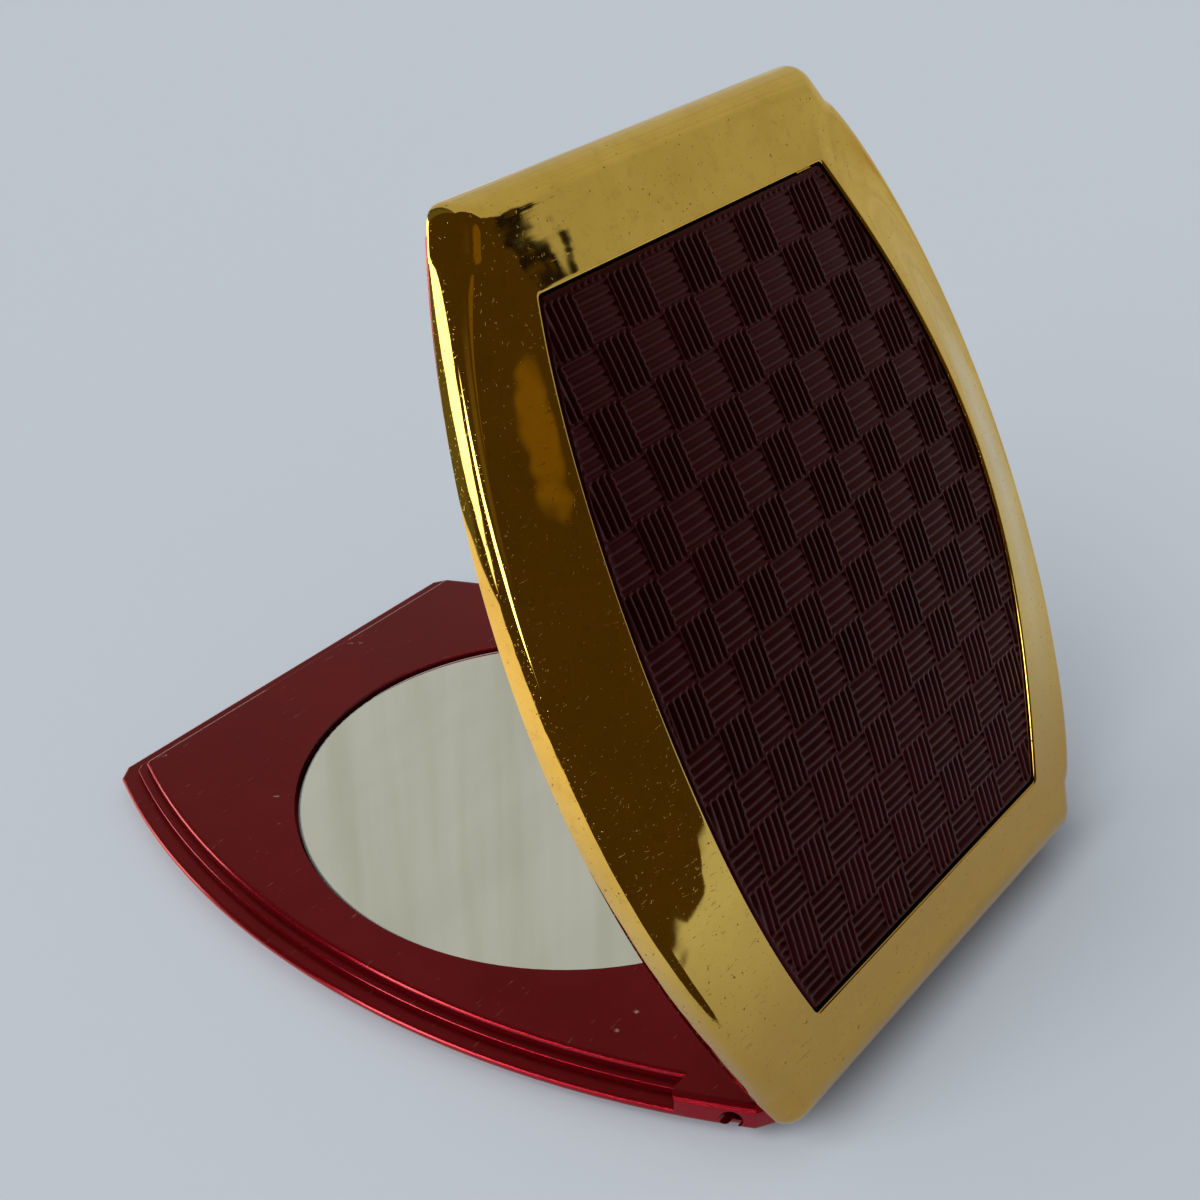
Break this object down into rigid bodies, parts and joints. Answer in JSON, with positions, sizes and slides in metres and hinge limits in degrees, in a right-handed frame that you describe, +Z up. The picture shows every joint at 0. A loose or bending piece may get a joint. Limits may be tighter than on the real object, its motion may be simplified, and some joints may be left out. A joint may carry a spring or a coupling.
{
  "type": "compact mirror",
  "caption": "Barrel-shaped folding pocket mirror: rolled gold lid with an embossed woven panel, painted base, round glass in each half, low rear hinge.",
  "frame": {"origin": "centre of the flat underside of the base, on the table", "axes": "+Z up, thumb notch toward -Y, hinge edge toward +Y, hinge line along X; the part mirrors across X = 0"},
  "size_m": [0.0616, 0.0736, 0.0647],
  "materials": {
    "case_paint": "burgundy metallic lacquer, satin on top and glossier on the stepped sides",
    "gold_plate": "polished gold plating with pits, hairline cracks and light scratches",
    "panel_enamel": "dark wine enamel, satin, embossed basket weave",
    "mirror_glass": "clear float glass with ground edges",
    "silvering": "silvered film under the glass",
    "foam_tape": "double-sided foam tape",
    "glue_film": "thin adhesive film",
    "plain_steel": "plain drawn steel"
  },
  "bodies": {
    "base": {"base_tray": "case_paint", "base_cover": "case_paint", "base_mirror_glass": "mirror_glass", "base_mirror_backing": "silvering", "base_mirror_pad": "foam_tape", "base_magnet": "plain_steel", "hinge_pin_left": "plain_steel", "hinge_pin_right": "plain_steel"},
    "lid": {"lid_frame": "case_paint", "lid_shell": "gold_plate", "lid_panel": "panel_enamel", "lid_panel_adhesive": "glue_film", "lid_mirror_glass": "mirror_glass", "lid_mirror_backing": "silvering", "lid_mirror_pad": "foam_tape", "lid_magnet": "plain_steel"}
  },
  "joints": [
    {"name": "lid_hinge", "type": "hinge", "parent": "base", "child": "lid", "pos_m": [0, 0.033, 0.0023], "axis": [-1, 0, 0], "range_deg": [-63.2, 24.8]}
  ]
}
